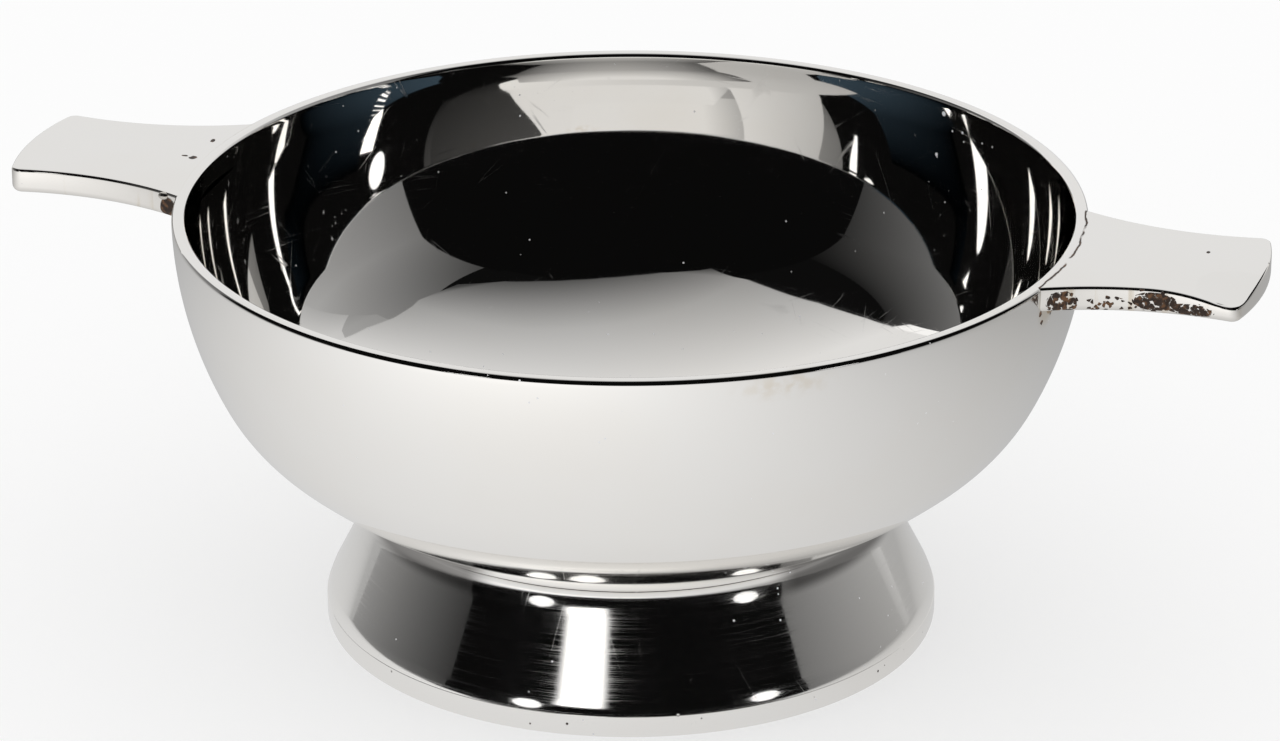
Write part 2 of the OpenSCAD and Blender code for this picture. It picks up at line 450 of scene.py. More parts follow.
# %% [markdown]
# ## The solder under the lugs
# A lug hangs from its soldered root alone, so a fillet of solder fills the corner under it. A
# bevel can't make it, because lug and bowl are separate pieces. So the section is drawn in front
# of the root's middle, with a little overlap into both, and carried round the bowl as far as the
# root. With no window, rotate turns clockwise for a positive angle, so the spin goes back.

# %% Draw one fillet
lug_fillet = 1.5
fillet_half = 11.0
overlap = 0.2
fillet_height = lug_under - lug_fillet
fillet_reach = math.sqrt((side_radius + lug_fillet) ** 2 - (rim_height - fillet_height) ** 2)
fillet_centre = (side_centre[0] + fillet_reach, fillet_height)
fillet_from = 90 + neck_feather
fillet_to = heading(fillet_centre, side_centre) - neck_feather
fillet_start = polar(fillet_centre, lug_fillet, fillet_from)
right_lug_solder = start_pen("right_lug_fillet", fillet_start[0], 0, fillet_start[1])
upright_arc(fillet_centre, fillet_to - fillet_from, steps=10)
fillet_end = pen_place()
line_to(fillet_end.x - overlap, fillet_end.z)
line_to(fillet_end.x - overlap, lug_under + overlap)
line_to(fillet_start[0], lug_under + overlap)
line_to(*fillet_start)
join_points()
bpy.ops.transform.rotate(value=math.radians(fillet_half), orient_axis="Z",
                         center_override=(0, 0, 0))
bpy.ops.mesh.edge_face_add()
bpy.ops.mesh.spin(steps=48, angle=math.radians(-2 * fillet_half), center=(0, 0, 0), axis=(0, 0, 1))
clean_and_smooth(right_lug_solder)

# %% [markdown]
# ## The solder on the left
# The left fillet is a copy, turned half round like the lug. A bead of solder has run out beside
# that root and set. It is a small sphere, drawn out a little along the lug and added in edit mode,
# so that it belongs to the fillet's mesh.

# %% Copy the fillet and add a bead
bead_radius = 0.5
bead_place = (-50.15, -11.05, 47.72)
bead_stretch = (1.3, 0.9, 0.9)
left_lug_solder = half_turned_copy(right_lug_solder, "left_lug_fillet")
bpy.ops.object.mode_set(mode="EDIT")
bpy.ops.mesh.select_all(action="DESELECT")
bpy.ops.mesh.primitive_uv_sphere_add(segments=32, ring_count=16, radius=bead_radius * MM,
                                     location=[part * MM for part in bead_place])
bpy.ops.transform.resize(value=bead_stretch)
bpy.ops.object.mode_set(mode="OBJECT")
bpy.ops.object.shade_smooth_by_angle(angle=math.radians(30))
print(left_lug_solder.name, "faces with its bead:", len(left_lug_solder.data.polygons))
for fillet, node in ((right_lug_solder, "right_lug_solder"), (left_lug_solder, "left_lug_solder")):
    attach(fillet, "root")
    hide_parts(node)

# %% [markdown]
# ## Finishes
# A mirror finish is never quite perfect. Buffing leaves the surface slightly wavy and covers it
# with hairlines, fingers leave a haze, and dust settles. Where the plate has worn through or flux
# was left in a corner, brown tarnish and small pits grow. A painted image could show all this, but
# it would blur close up. So it is mixed from noise and cell textures on the object's own
# coordinates, which stay sharp. The helpers below name the steps once.

# %% One node in one line
def add_node(tree, kind, inputs=None, **settings):
    made = tree.nodes.new(kind)
    for key, value in settings.items():
        setattr(made, key, value)
    for key, value in (inputs or {}).items():
        if isinstance(value, bpy.types.NodeSocket):
            tree.links.new(value, made.inputs[key])
        else:
            made.inputs[key].default_value = value
    return made


def calc(tree, operation, *values):
    return add_node(tree, "ShaderNodeMath", dict(enumerate(values)),
                    operation=operation).outputs["Value"]


def vector_calc(tree, operation, *values):
    return add_node(tree, "ShaderNodeVectorMath", dict(enumerate(values)),
                    operation=operation).outputs


def parts(tree, vector):
    return add_node(tree, "ShaderNodeSeparateXYZ", {"Vector": vector}).outputs


def joined(tree, **ways):
    return add_node(tree, "ShaderNodeCombineXYZ", ways).outputs["Vector"]


def object_place(tree):
    return add_node(tree, "ShaderNodeTexCoord").outputs["Object"]


# %% Steps, blends and noise
def largest(tree, first, *others):
    for other in others:
        first = calc(tree, "MAXIMUM", first, other)
    return first


def step(tree, value, none_at, full_at):
    """0 where the value is at none_at, 1 where it is at full_at, and soft between them."""
    return add_node(tree, "ShaderNodeMapRange",
                    {"Value": value, "From Min": none_at, "From Max": full_at},
                    interpolation_type="SMOOTHSTEP").outputs["Result"]


def blend(tree, share, first, second):
    return add_node(tree, "ShaderNodeMix", {0: share, 6: first, 7: second},
                    data_type="RGBA").outputs[2]


def noise(tree, place, per_metre, detail=2.0):
    return add_node(tree, "ShaderNodeTexNoise", {"Vector": place, "Scale": per_metre,
                                                 "Detail": detail}).outputs["Fac"]


# %% Hairlines and dots
def laid_along(tree, sheet, turn, length, spacing):
    """Turn a sheet of coordinates and measure it in lengths and spacings, in millimetres."""
    return add_node(tree, "ShaderNodeMapping",
                    {"Vector": sheet, "Rotation": (0, 0, math.radians(turn)),
                     "Scale": (length * MM, spacing * MM, MM)},
                    vector_type="TEXTURE").outputs["Vector"]


def hairlines(tree, sheet, turn, length, spacing, width):
    """Contours of a noise that is drawn out along one way, broken into lengths."""
    drawn_out = noise(tree, laid_along(tree, sheet, turn, length, spacing), 1.0, 0.0)
    away = calc(tree, "ABSOLUTE", calc(tree, "SUBTRACT", drawn_out, 0.5))
    lengths = noise(tree, laid_along(tree, sheet, turn, 9, 4), 1.0, 2)
    kept = step(tree, lengths, 0.58, 0.68)
    return calc(tree, "MULTIPLY", step(tree, away, width, 0.3 * width), kept)


def cells(tree, place, per_metre):
    return add_node(tree, "ShaderNodeTexVoronoi", {"Vector": place, "Scale": per_metre}).outputs


def dots(tree, place, per_metre, size, share):
    """A dot in the middle of a share of all cells."""
    cell = cells(tree, place, per_metre)
    chosen = calc(tree, "LESS_THAN", cell["Color"], share)
    return calc(tree, "MULTIPLY", chosen, step(tree, cell["Distance"], size, 0.6 * size))


# %% Places on the part
def patches(tree, place, *spots):
    """1 in the middle of egg-shaped spots and 0 at their edge, with places and reaches in mm."""
    found = []
    for centre, reach in spots:
        moved = add_node(tree, "ShaderNodeMapping",
                         {"Vector": place, "Location": [MM * c for c in centre],
                          "Scale": [MM * c for c in reach]}, vector_type="TEXTURE")
        away = vector_calc(tree, "LENGTH", moved.outputs["Vector"])["Value"]
        found.append(add_node(tree, "ShaderNodeMapRange",
                              {"Value": away, "From Min": 1.0, "From Max": 0.0}).outputs["Result"])
    return largest(tree, *found)


def from_axis(tree, place):
    """Distance from the upright axis, and height."""
    flat = vector_calc(tree, "MULTIPLY", place, (1, 1, 0))["Vector"]
    return vector_calc(tree, "LENGTH", flat)["Value"], parts(tree, place)["Z"]


def near_ring(tree, place, radius, height, reach):
    """1 on a level ring round the axis and 0 at its reach, with sizes in millimetres."""
    out, up = from_axis(tree, place)
    out = calc(tree, "SUBTRACT", out, radius * MM)
    up = calc(tree, "SUBTRACT", up, height * MM)
    away = vector_calc(tree, "LENGTH", joined(tree, X=out, Z=up))["Value"]
    return step(tree, away, reach * MM, 0.25 * reach * MM)


def eaten(tree, place, where, per_metre):
    """Pits that crowd together in the middle of a soft patch and thin out at its edge."""
    bent = noise(tree, place, 1.5 * per_metre, 2)
    cell = cells(tree, place, per_metre)
    chosen = calc(tree, "LESS_THAN", cell["Color"], calc(tree, "MULTIPLY", where, 1.5))
    edge = calc(tree, "MULTIPLY_ADD", bent, 0.5, cell["Distance"])
    return calc(tree, "MULTIPLY", chosen, step(tree, edge, 1.02, 0.90))


# %% [markdown]
# ## Silver that has been used
# Every silver face shares this base: a wavy mirror, rings left by the buffing wheel, four sets
# of hairlines, a little haze and some dust. A finish then adds its own tarnish, which is dark
# brown, dull and not metallic any more. One function makes the base and one joins it up, so that
# all silver on the part is of one kind.

# %% Lay the marks along the metal
def round_sheet(tree, place):
    """Distance round the axis and distance up the profile, near enough for hairlines."""
    out, up = from_axis(tree, place)
    across = parts(tree, place)
    turn = calc(tree, "MULTIPLY", calc(tree, "ARCTAN2", across["Y"], across["X"]), 45 * MM)
    return joined(tree, X=turn, Y=calc(tree, "ADD", out, up))


def flat_sheet(tree, place):
    """Along a lug, and across it and down its sides."""
    ways = parts(tree, place)
    return joined(tree, X=ways["X"], Y=calc(tree, "ADD", ways["Y"], ways["Z"]))


# %% A used mirror
hairline_sets = ((8, 70, 1.7, 0.014), (63, 50, 2.3, 0.012), (-41, 60, 2.0, 0.012),
                 (112, 40, 3.1, 0.009))


def used_mirror(name, gloss, lay_sheet):
    finish = bpy.data.materials.new(name)
    finish.use_nodes = True
    tree = finish.node_tree
    place = object_place(tree)
    sheet = lay_sheet(tree, place)
    rings = step(tree, noise(tree, laid_along(tree, sheet, 0, 60, 0.4), 1.0, 3), 0.50, 0.75)
    haze = step(tree, noise(tree, place, 38, 4), 0.42, 0.75)
    lines = largest(tree, *(hairlines(tree, sheet, *one_set) for one_set in hairline_sets))
    dull = calc(tree, "MULTIPLY_ADD", rings, 0.02, gloss)
    dull = calc(tree, "MULTIPLY_ADD", haze, 0.008, dull)
    dull = calc(tree, "MULTIPLY_ADD", lines, 0.12, dull)
    return finish, tree, place, dull, haze


# %% Join up a used mirror
silver_colour = (0.93, 0.915, 0.89, 1)
tarnish_colour = (0.032, 0.015, 0.007, 1)
rust_colour = (0.155, 0.070, 0.026, 1)
film_colour = (0.80, 0.72, 0.60, 1)
# The grey of the painted shade on the neck, not a colour of the metal.
painted_shade_colour = (0.30, 0.29, 0.28, 1)
dust_colour = (0.78, 0.79, 0.82, 1)
wave_height, pit_depth = 2e-5, 1e-4


def link_shader(tree, **values):
    shader = tree.nodes["Principled BSDF"]
    for name, value in values.items():
        tree.links.new(value, shader.inputs[name.replace("_", " ")])


def finish_mirror(tree, place, dull, film, tarnish, dust, wave, painted_shade=0.0):
    """Join the colour, the dullness, the metal and the relief of a used mirror."""
    colour = blend(tree, film, silver_colour, film_colour)
    # The last share blends in a grey as painted shade, where a finish asks for it.
    colour = blend(tree, painted_shade, colour, painted_shade_colour)
    rusty = step(tree, noise(tree, place, 1700, 3), 0.45, 0.68)
    brown = blend(tree, rusty, tarnish_colour, rust_colour)
    colour = blend(tree, tarnish, colour, brown)
    colour = blend(tree, dust, colour, dust_colour)
    covered = largest(tree, tarnish, dust)
    dull = calc(tree, "MULTIPLY_ADD", covered, 0.5, dull)
    metal = calc(tree, "SUBTRACT", 1.0, calc(tree, "MULTIPLY", covered, 0.95))
    soft = add_node(tree, "ShaderNodeBump",
                    {"Height": wave, "Strength": 1.0, "Distance": wave_height})
    relief = add_node(tree, "ShaderNodeBump",
                      {"Height": tarnish, "Strength": 1.0, "Distance": -pit_depth,
                       "Normal": soft.outputs["Normal"]})
    link_shader(tree, Base_Color=colour, Roughness=dull, Metallic=metal,
                Normal=relief.outputs["Normal"])


# %% [markdown]
# ## Bowl, foot and base wire
# Tarnish sits where a cloth doesn't reach: in the corner under the bowl, along the base wire and
# round the roots of the lugs, where solder was also smeared on the bowl's side. The neck's sides
# and back get painted shade, a grey that stands in for their darker reflection, and its front is
# left bright. A faint smudge is left under the lip. Each mark is placed by rings and patches in
# millimetres, because noise alone would put it anywhere.

# %% Painted shade on the neck and tarnished corner
silver, tree, place, dull, haze = used_mirror("mirror_silver", 0.022, round_sheet)
seam = polar(neck_centre, neck_radius, heading(neck_centre, bottom_centre))
corners = near_ring(tree, place, seam[0], seam[1], 0.5)
in_corners = calc(tree, "MULTIPLY", corners, step(tree, noise(tree, place, 300, 4), 0.54, 0.70))
out, up = from_axis(tree, place)
# The front of the neck, which is left out of the painted shade.
front_way = (0.287, -0.958, 0)
forward = vector_calc(tree, "DOT_PRODUCT", place, front_way)["Value"]
rubbed = step(tree, calc(tree, "DIVIDE", forward, out), 0.78, 0.87)
hollow = polar(flare_centre, -flare_radius, foot_lean - 0.75 * flare_sweep)
# Painted shade: grey rings at the seam and in the foot's hollow stand in for the darker reflection
# of the neck's sides and back.
neck_painted_shade = largest(tree, near_ring(tree, place, seam[0], seam[1] - 0.5, 1.3),
                    near_ring(tree, place, hollow[0], hollow[1], 1.9))
neck_painted_shade = calc(tree, "MULTIPLY", neck_painted_shade, calc(tree, "SUBTRACT", 1.0, rubbed))
print("seam under the bowl at mm:", [round(part, 2) for part in seam])

# %% Smears, nicks and a smudge
smear = patches(tree, place, ((49.2, -10.2, 45.6), (2.4, 2.6, 3.0)),
                ((-49.2, 10.2, 45.6), (2.0, 2.2, 2.4)))
smear_dots = eaten(tree, place, calc(tree, "MULTIPLY", smear, 0.42), 1900)
gap = step(tree, patches(tree, place, ((-49.3, -11.6, 46.3), (1.6, 1.6, 2.1))), 0.35, 0.45)
nicks = calc(tree, "MULTIPLY", near_ring(tree, place, foot_radius, 1.2, 1.6),
             dots(tree, place, 700, 0.12, 0.42))
tarnish = largest(tree, in_corners, smear_dots, gap, nicks)
smudge = calc(tree, "MULTIPLY", patches(tree, place, ((28.6, -41.0, 46.7), (6.5, 6.5, 1.9))),
              step(tree, noise(tree, place, 650, 3), 0.36, 0.66))
film = calc(tree, "MULTIPLY_ADD", haze, 0.10,
            calc(tree, "MULTIPLY", step(tree, smear, 0.0, 0.6), 0.75))
film = calc(tree, "MULTIPLY_ADD", smudge, 0.75, film)
print("nodes for tarnish and film:", len(tree.nodes))

# %% Dust, drops and the foot's buffing
settled = step(tree, noise(tree, place, 60, 2), 0.42, 0.62)
dust = calc(tree, "MULTIPLY", settled, dots(tree, place, 620, 0.085, 0.45))
on_foot = step(tree, up, 15 * MM, 13 * MM)
specks = calc(tree, "MULTIPLY", on_foot, dots(tree, place, 520, 0.055, 0.30))
drops = patches(tree, place, ((25.3, 41.3, 46.5), (0.34, 0.34, 0.34)),
                ((24.6, 41.2, 41.5), (0.26, 0.26, 0.26)),
                ((28.0, 39.5, 45.1), (0.20, 0.20, 0.20)))
dust = largest(tree, dust, specks, step(tree, drops, 0.05, 0.35))
spun = noise(tree, laid_along(tree, round_sheet(tree, place), 0, 25, 0.05), 1.0, 3)
spun = step(tree, spun, 0.34, 0.80)
dull = calc(tree, "MULTIPLY_ADD", calc(tree, "MULTIPLY", spun, on_foot), 0.17, dull)
wave = noise(tree, place, 70, 1)
finish_mirror(tree, place, dull, film, tarnish, dust, wave, neck_painted_shade)
for piece in (bowl, foot, foot_wire):
    piece.data.materials.append(silver)
print(silver.name, "nodes:", len(tree.nodes))

# %% [markdown]
# ## The lugs' flat faces
# The tops are buffed flat. On the right a broken dark line shows where the root meets the rim. On
# the left a few pits in the casting were opened by filing the solder flush. The line is a ring
# that wanders with a noise, and the pits are patches with ragged edges. Cut into the mesh, they
# would need far more faces than such small marks are worth.

# %% Lug silver
lug_silver, tree, place, dull, haze = used_mirror("lug_silver", 0.035, flat_sheet)
out = from_axis(tree, place)[0]
wander = calc(tree, "MULTIPLY_ADD", noise(tree, place, 420, 3), 0.8 * MM, 49.35 * MM)
off_line = calc(tree, "ABSOLUTE", calc(tree, "SUBTRACT", out, wander))
rim_line = calc(tree, "MULTIPLY", step(tree, off_line, 0.17 * MM, 0.06 * MM),
                step(tree, noise(tree, place, 210, 2), 0.36, 0.46))
right_side = step(tree, parts(tree, place)["X"], 0.0, 0.01)
rim_line = calc(tree, "MULTIPLY", rim_line, right_side)
pit_patch = patches(tree, place, ((-50.8, -0.2, 48.2), (0.75, 0.85, 1.0)),
                    ((-51.9, 0.1, 48.2), (0.6, 0.4, 1.0)),
                    ((-50.6, 5.4, 48.2), (0.45, 0.8, 1.0)),
                    ((63.5, 3.2, 48.2), (0.35, 0.5, 1.0)))
ragged = calc(tree, "MULTIPLY_ADD", noise(tree, place, 1500, 3), 0.9, pit_patch)
tarnish = largest(tree, rim_line, step(tree, ragged, 0.78, 0.88))
film = calc(tree, "MULTIPLY", haze, 0.12)
dust = dots(tree, place, 560, 0.07, 0.40)
wave = noise(tree, place, 90, 1)
finish_mirror(tree, place, dull, film, tarnish, dust, wave)
print(lug_silver.name, "nodes:", len(tree.nodes))

# %% [markdown]
# ## The lugs' narrow sides
# The narrow sides were never buffed as well as the tops. The plate has broken through on the right
# lug's front side, where brown corrosion stands in three clusters. The left lug has faint upright
# stains and a gap in its solder. This is a material of its own, given to the faces that stand
# upright, because one material for both would need a mask along every edge.

# %% Lug side silver
lug_sides, tree, place, dull, _ = used_mirror("lug_side_silver", 0.10, flat_sheet)
sore = patches(tree, place, ((50.7, -10.9, 46.4), (2.4, 3.0, 2.0)),
               ((55.0, -9.6, 46.2), (5.0, 3.0, 1.3)), ((60.2, -8.8, 46.8), (3.4, 3.0, 1.6)),
               ((63.9, -8.7, 46.2), (3.6, 3.0, 1.2)), ((69.2, -9.4, 46.6), (0.9, 1.0, 1.4)))
crowded = patches(tree, place, ((50.7, -10.9, 46.4), (1.9, 3.0, 1.6)),
                  ((60.2, -8.8, 46.8), (2.8, 3.0, 1.2)), ((63.9, -8.7, 46.2), (3.0, 3.0, 0.8)),
                  ((69.5, -9.4, 46.9), (0.4, 0.7, 0.9)))
thin = calc(tree, "MULTIPLY", sore, 0.42)
sores = eaten(tree, place, largest(tree, thin, step(tree, crowded, 0.0, 0.4)), 2300)
gap = step(tree, patches(tree, place, ((-49.6, -11.3, 46.3), (1.9, 1.6, 2.1))), 0.30, 0.40)
tarnish = largest(tree, sores, gap, dots(tree, place, 480, 0.10, 0.40))
drawn_down = vector_calc(tree, "MULTIPLY", place, (900, 900, 55))["Vector"]
stain = calc(tree, "MULTIPLY", step(tree, noise(tree, drawn_down, 1.0, 3), 0.50, 0.70),
             step(tree, noise(tree, place, 130, 1), 0.42, 0.60))
film = calc(tree, "MULTIPLY_ADD", stain, 0.75, 0.15)
dull = calc(tree, "MULTIPLY_ADD", stain, 0.15, dull)
dust = dots(tree, place, 640, 0.06, 0.35)
wave = noise(tree, place, 260, 2)
finish_mirror(tree, place, dull, film, tarnish, dust, wave)
print(lug_sides.name, "nodes:", len(tree.nodes))

# %% Give the lugs both finishes
upright_below = 0.85
for lug in (right_lug, left_lug):
    lug.data.materials.append(lug_silver)
    lug.data.materials.append(lug_sides)
    for face in lug.data.polygons:
        face.material_index = 1 if abs(face.normal.z) < upright_below else 0
    print(lug.name, "side faces:", sum(face.material_index for face in lug.data.polygons))

# %% [markdown]
# ## The solder
# Solder is greyer than the plate. It sets with a grainy skin, holes where flux boiled, and browns
# where it was hottest. It isn't buffed, so it gets a plain rough metal of its own and not the used
# mirror.

# %% Dull solder
solder_colour = (0.64, 0.61, 0.56, 1)
burnt_colour = (0.34, 0.25, 0.17, 1)
solder = bpy.data.materials.new("dull_solder")
solder.use_nodes = True
tree = solder.node_tree
tree.nodes["Principled BSDF"].inputs["Metallic"].default_value = 1.0
place = object_place(tree)
burnt = step(tree, noise(tree, place, 180, 4), 0.45, 0.68)
holes = dots(tree, place, 900, 0.30, 0.45)
grain = noise(tree, place, 1400, 3)
colour = blend(tree, burnt, solder_colour, burnt_colour)
colour = blend(tree, holes, colour, tarnish_colour)
skin = calc(tree, "MULTIPLY_ADD", grain, 0.30, 0.14)
skin = calc(tree, "MULTIPLY_ADD", burnt, 0.20, skin)
relief = calc(tree, "SUBTRACT", calc(tree, "MULTIPLY", grain, 0.4), holes)
bump = add_node(tree, "ShaderNodeBump",
                {"Height": relief, "Strength": 0.8, "Distance": pit_depth})
link_shader(tree, Base_Color=colour, Roughness=skin, Normal=bump.outputs["Normal"])
for piece in (foot_solder, right_lug_solder, left_lug_solder):
    piece.data.materials.append(solder)
print(solder.name, "nodes:", len(tree.nodes))

# %% [markdown]
# ## The floor and the world
# Polished silver has hardly any look of its own: what shows is the room. The picture keeps a plain
# white floor under soft white light. The metal sees the same floor at other levels, brightest in
# front of the bowl, because the lamps stand there. Light Path tells both kinds of ray apart, where
# real lamps would also burn out the white.

# %% Directions round the bowl
camera_turn = 16.6


def studio_direction(azimuth, elevation):
    """Azimuth 0 is away from the camera, 90 to its right and 180 towards it."""
    across = math.radians(90 - azimuth + camera_turn)
    up = math.radians(elevation)
    return math.cos(across) * math.cos(up), math.sin(across) * math.cos(up), math.sin(up)


print("towards the camera:", [round(part, 3) for part in studio_direction(180, 0)])

# %% Floor
bright_azimuth, bright_distance = 206.5, 0.224
near_edge, far_edge = 0.06, 0.32
near_level, far_level = 1.06, 0.42
camera_lift = 0.55
bpy.ops.object.select_all(action="DESELECT")
bpy.ops.mesh.primitive_plane_add(size=8)
floor = bpy.context.object
floor.name = "studio_floor"
paper = bpy.data.materials.new("white_paper")
paper.use_nodes = True
tree = paper.node_tree
shader = tree.nodes["Principled BSDF"]
shader.inputs["Base Color"].default_value = (0.95, 0.95, 0.95, 1)
shader.inputs["Roughness"].default_value = 0.9
shader.inputs["Specular IOR Level"].default_value = 0.0
brightest = [bright_distance * part for part in studio_direction(bright_azimuth, 0)]
away = vector_calc(tree, "DISTANCE", object_place(tree), brightest)["Value"]
level = add_node(tree, "ShaderNodeMapRange",
                 {"Value": away, "From Min": near_edge, "From Max": far_edge,
                  "To Min": near_level, "To Max": far_level}).outputs["Result"]
shine = add_node(tree, "ShaderNodeEmission", {"Color": level, "Strength": 1.0})
white = add_node(tree, "ShaderNodeEmission", {"Color": (1, 1, 1, 1), "Strength": 1.0})
ray = add_node(tree, "ShaderNodeLightPath").outputs
lifted = calc(tree, "MULTIPLY", ray["Is Camera Ray"], camera_lift)
mixed = shader.outputs["BSDF"]
for share, light in ((ray["Is Glossy Ray"], shine), (lifted, white)):
    mixed = add_node(tree, "ShaderNodeMixShader",
                     {0: share, 1: mixed, 2: light.outputs["Emission"]}).outputs["Shader"]
tree.links.new(mixed, tree.nodes["Material Output"].inputs["Surface"])
paper.cycles.emission_sampling = "NONE"
floor.data.materials.append(paper)
print(floor.name, "is brightest at mm:", [round(part / MM) for part in brightest])

# %% World
world = bpy.data.worlds.new("white_studio")
world.use_nodes = True
background = world.node_tree.nodes["Background"]
background.inputs["Color"].default_value = (1, 1, 1, 1)
background.inputs["Strength"].default_value = 1.0
bpy.context.scene.world = world
print("world:", world.name)

# %% [markdown]
# ## Cards that only the metal sees
# In a real studio paper and lamps are hung round the silver, just where it should look light. Area
# lamps could stand there, but they would also light the floor. So each card here glows at its own
# level, lights nothing and is seen by mirror rays alone. Inside the bowl a ray meets the metal
# twice or more, and a card may be set to show in some of these reflections and be clear in others.

# %% Glow and hang
def glow(name, level=None):
    """A glowing card, at one level or at the level painted on its points."""
    made = bpy.data.materials.new(name)
    made.use_nodes = True
    tree = made.node_tree
    tree.nodes.clear()
    shine = add_node(tree, "ShaderNodeEmission", {"Strength": 1.0})
    if level is None:
        painted = add_node(tree, "ShaderNodeVertexColor", layer_name="level").outputs["Color"]
        tree.links.new(painted, shine.inputs["Color"])
    else:
        shine.inputs["Color"].default_value = (level, level, level, 1)
    add_node(tree, "ShaderNodeOutputMaterial", {"Surface": shine.outputs["Emission"]})
    made.cycles.emission_sampling = "NONE"
    return made


def in_reflections(finish, first, last):
    """Let a card show only in the first to the last reflection of a ray, and be clear in others."""
    tree = finish.node_tree
    depth = add_node(tree, "ShaderNodeLightPath").outputs["Glossy Depth"]
    seen = calc(tree, "COMPARE", depth, (first + last) / 2, (last - first) / 2 + 0.5)
    clear = add_node(tree, "ShaderNodeBsdfTransparent").outputs["BSDF"]
    mixed = add_node(tree, "ShaderNodeMixShader",
                     {0: seen, 1: clear, 2: tree.nodes["Emission"].outputs["Emission"]})
    tree.links.new(mixed.outputs["Shader"], tree.nodes["Material Output"].inputs["Surface"])


def hang(card, finish):
    card.name = finish.name
    card.data.materials.append(finish)
    card.visible_camera = False
    card.visible_diffuse = False
    card.visible_shadow = False
    card.visible_transmission = False
    card.visible_volume_scatter = False
    print("hung:", card.name, "points:", len(card.data.vertices))


# %% Bent cards
card_height = 0.02


def between(ends, share):
    return ends[0] + (ends[1] - ends[0]) * share


def place_point(point, azimuth, elevation, distance):
    point.co = [distance * part for part in studio_direction(azimuth, elevation)]
    point.co.z += card_height


def bent_card(name, azimuths, elevations, distance, low_levels, top_levels=None, lean=(0, 0),
              tint=(1, 1, 1), soft=0.0):
    """A card bent round the bowl, with the levels at its start and end, low and at the top.
    The lean moves the tops of both ends round by so many degrees, and soft is the share of the
    width over which each side edge fades out."""
    bpy.ops.object.select_all(action="DESELECT")
    bpy.ops.mesh.primitive_grid_add(x_subdivisions=24, y_subdivisions=12, size=1)
    card = bpy.context.object
    paint = card.data.color_attributes.new("level", "FLOAT_COLOR", "POINT")
    for point, spot in zip(card.data.vertices, paint.data):
        across, rise = point.co.x + 0.5, point.co.y + 0.5
        levels = between(low_levels, across), between(top_levels or low_levels, across)
        level = between(levels, rise)
        if soft:
            inside = min(1.0, min(across, 1 - across) / soft)
            level *= inside * inside * (3 - 2 * inside)
        spot.color = [level * part for part in tint] + [1]
        sides = [azimuths[side] + lean[side] * rise ** 2 for side in (0, 1)]
        place_point(point, between(sides, across), between(elevations, rise), distance)
    hang(card, glow(name))
    return card.active_material


# %% Round lamps
def round_lamp(name, azimuth, elevation, half_width, half_height, distance, level):
    bpy.ops.object.select_all(action="DESELECT")
    bpy.ops.mesh.primitive_circle_add(vertices=48, radius=1, fill_type="NGON")
    lamp = bpy.context.object
    for point in lamp.data.vertices:
        place_point(point, azimuth + half_width * point.co.x, elevation + half_height * point.co.y,
                    distance)
    hang(lamp, glow(name, level))
    return lamp.active_material


# %% [markdown]
# ## Paper, panels and lamps
# The room is read back from the reflections in the photo. White paper hangs behind, a grey panel
# that darkens upwards stands at each side, and the whole front is black, with one strip lamp and
# two small lamps. A ready-made picture of a room could be wrapped round the world instead, but it
# would put its own lamps and edges in the silver.

# %% Hang the paper and the panels
black = (0.004, 0.004)
bent_card("back_paper", (-46, 40), (-2, 40), 0.95, (0.80, 0.80))
bent_card("back_corner", (39, 66), (-2, 40), 0.94, (0.80, 0.36))
bent_card("right_grey", (62, 116), (-2, 26), 0.75, (0.38, 0.15), (0.40, 0.165))
bent_card("right_upper", (62, 116), (26, 57), 0.75, (0.40, 0.165), (0.172, 0.047))
bent_card("right_shoulder", (44, 64), (38, 90), 0.85, (0.45, 0.29))
bent_card("left_grey", (247, 316), (-2, 46), 0.75, (0.05, 0.34), (0.004, 0.015), lean=(0, -14))
bent_card("left_roof", (247, 318), (45, 90), 0.75, black)
bent_card("right_roof", (56, 116), (56.5, 90), 0.76, black)
bent_card("front_black", (115, 249), (-2, 90), 0.70, (0.003, 0.003))

# %% Hang the lamps
strip = bent_card("strip_lamp", (187.5, 209.5), (12, 48), 0.60, (1.9, 1.9), lean=(0, -3), soft=0.25)
in_reflections(strip, 0, 1)
round_lamp("left_lamp", 217, 8, 5.5, 6.5, 0.60, 1.2)
round_lamp("right_lamp", 132, 8, 5.5, 6.5, 0.60, 1.2)

# %% [markdown]
# ## Second reflections
# Inside the bowl and at the foot's neck the silver mirrors itself. What shows there depends on
# every bend of the metal twice over, so the first cards don't land where the photo has them.
# These cards show in later reflections only: streaks of lamps on the bowl's side walls, paper in
# its far wall and bottom, and the lamps' small images in the neck.

# %% Hang the streaks
for streak in (
        round_lamp("left_streak", 219, 20.5, 5, 5, 0.58, 1.4),
        bent_card("right_streak", (124.5, 129), (20, 34), 0.20, (1.4, 1.4), lean=(8.3, 5.5)),
        bent_card("far_strip", (204.5, 214), (26, 50), 0.69, (1.7, 1.7), lean=(-25, -27.5))):
    in_reflections(streak, 2, 99)

# %% Hang the cards of the second reflection
for second in (
        bent_card("far_side", (60, 99), (-2, 52), 0.57, (0.75, 0.50), lean=(0, 27)),
        bent_card("far_roof", (-98, 160), (50, 88), 0.56, (0.85, 0.46)),
        bent_card("far_back", (284, 330), (4, 52), 0.60, (0.78, 0.79)),
        bent_card("far_left", (252, 316.5), (-2, 67), 0.55, (0.045, 0.08), (0.006, 0.02),
                  lean=(0, -61.5)),
        bent_card("far_haze", (148, 205), (23, 60), 0.69, (0, 0), (0.06, 0.06),
                  tint=(0.62, 1.0, 1.38)),
        round_lamp("neck_strip", 198, 4.5, 7.5, 4.5, 0.60, 1.4),
        round_lamp("neck_left", 217.5, 4, 6.5, 4, 0.61, 1.4),
        round_lamp("neck_right", 131, 4, 6.5, 4, 0.61, 1.4)):
    in_reflections(second, 2, 2)

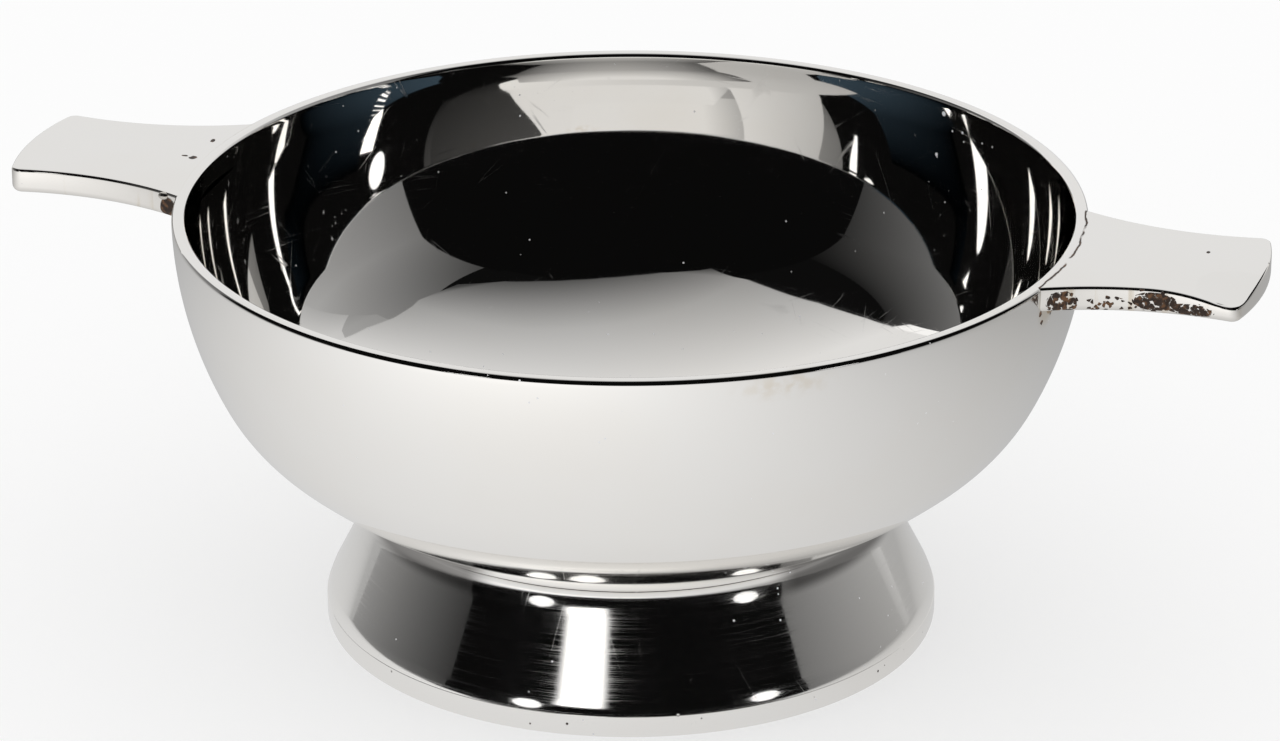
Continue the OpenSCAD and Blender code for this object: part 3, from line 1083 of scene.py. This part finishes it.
# %% [markdown]
# ## The paper overhead
# A large sheet hangs level over the bowl, brighter towards the back. Its front edge shows in the
# bottom of the bowl, where the photo has two straight lines that meet. A hollow mirror bends what
# it shows, so the sheet is cut along a slow curve, which looks straight in the bowl.

# %% Cut the overhead sheet
roof_height = 0.52
roof_left = ((0.72, 0.86), (0.478, 0.367), (0.441, 0.291), (0.387, 0.20), (0.354, 0.135))
roof_front = ((0.297, -0.001), (0.254, -0.009), (0.191, -0.025), (0.14, -0.044), (0.089, -0.059),
              (0.04, -0.069), (-0.009, -0.075), (-0.059, -0.078), (-0.116, -0.097))
roof_right = ((-0.14, -0.112), (-0.151, -0.076), (-0.165, -0.049), (-0.218, 0.003),
              (-0.256, 0.042), (-0.296, 0.084), (-0.338, 0.139), (-0.383, 0.201),
              (-0.434, 0.282), (-0.493, 0.384), (-0.76, 0.86))
roof_outline = roof_left + roof_front + roof_right
right_way, back_way = studio_direction(90, 0), studio_direction(0, 0)
bpy.ops.object.select_all(action="DESELECT")
bpy.ops.mesh.primitive_circle_add(vertices=len(roof_outline), radius=1, fill_type="NGON")
roof_paper = bpy.context.object
for point, (to_right, to_back) in zip(roof_paper.data.vertices, roof_outline):
    point.co = [to_right * right + to_back * back for right, back in zip(right_way, back_way)]
    point.co.z = roof_height
print("overhead sheet's corners:", len(roof_outline))

# %% Light the overhead sheet
middle_level, to_right_slope, to_back_slope = 0.41, -0.27, 2.1
side_falloff, front_falloff = -1.93, 1.45
front_turn, front_start = -0.3, 0.02
least_level, most_level = 0.06, 0.79
roof_glow = glow("roof_paper", most_level)
tree = roof_glow.node_tree
place = object_place(tree)
across, back = (vector_calc(tree, "DOT_PRODUCT", place, way)["Value"]
                for way in (right_way, back_way))
level = calc(tree, "MULTIPLY_ADD", across, to_right_slope, middle_level)
level = calc(tree, "MULTIPLY_ADD", back, to_back_slope, level)
level = calc(tree, "MULTIPLY_ADD", calc(tree, "MULTIPLY", across, across), side_falloff, level)
front = calc(tree, "MULTIPLY_ADD", across, front_turn, back)
front = calc(tree, "MINIMUM", calc(tree, "SUBTRACT", front, front_start), 0.0)
level = calc(tree, "MULTIPLY_ADD", front, front_falloff, level)
level = calc(tree, "MAXIMUM", calc(tree, "MINIMUM", level, most_level), least_level)
tree.links.new(level, tree.nodes["Emission"].inputs["Color"])
hang(roof_paper, roof_glow)

# %% [markdown]
# ## The black flag
# In a studio a black flag hides the camera and the lamps from a mirror. This one stands round the
# front of the bowl, just above its rim, and keeps the lamps out of the bowl's far wall. A flag for
# each lamp would do as well, but one band is simpler.

# %% The black flag
flag_radius, flag_foot, flag_height = 0.075, 0.0505, 0.15
flag_azimuths = (97, 263)
black_flag = glow("black_flag", 0.003)
in_reflections(black_flag, 0, 1)
bpy.ops.object.select_all(action="DESELECT")
bpy.ops.mesh.primitive_grid_add(x_subdivisions=24, y_subdivisions=2, size=1)
flag = bpy.context.object
for point in flag.data.vertices:
    height = flag_foot + flag_height * (point.co.y + 0.5)
    way = studio_direction(between(flag_azimuths, point.co.x + 0.5), 0)
    point.co = [flag_radius * part for part in way]
    point.co.z = height
hang(flag, black_flag)

# %% [markdown]
# ## The camera
# The camera looks down at the bowl from the front, a little to its right, with a long lens. Its
# place and lens were worked out from the outlines of rim, foot and lugs, because a guess by eye
# would shift every reflection.

# %% Camera
camera_data = bpy.data.cameras.new("photo_camera")
camera = bpy.data.objects.new("photo_camera", camera_data)
bpy.context.scene.collection.objects.link(camera)
camera_data.sensor_width = 36
camera_data.lens = 154.8
camera_data.clip_start = 0.01
camera.location = (0.1603, -0.5377, 0.2656)
camera.rotation_euler = [math.radians(turn) for turn in (67.074, 0.106, 16.447)]
bpy.context.scene.camera = camera
bpy.context.scene.view_settings.view_transform = "Standard"
print("camera's distance in mm:", round(camera.location.length / MM))
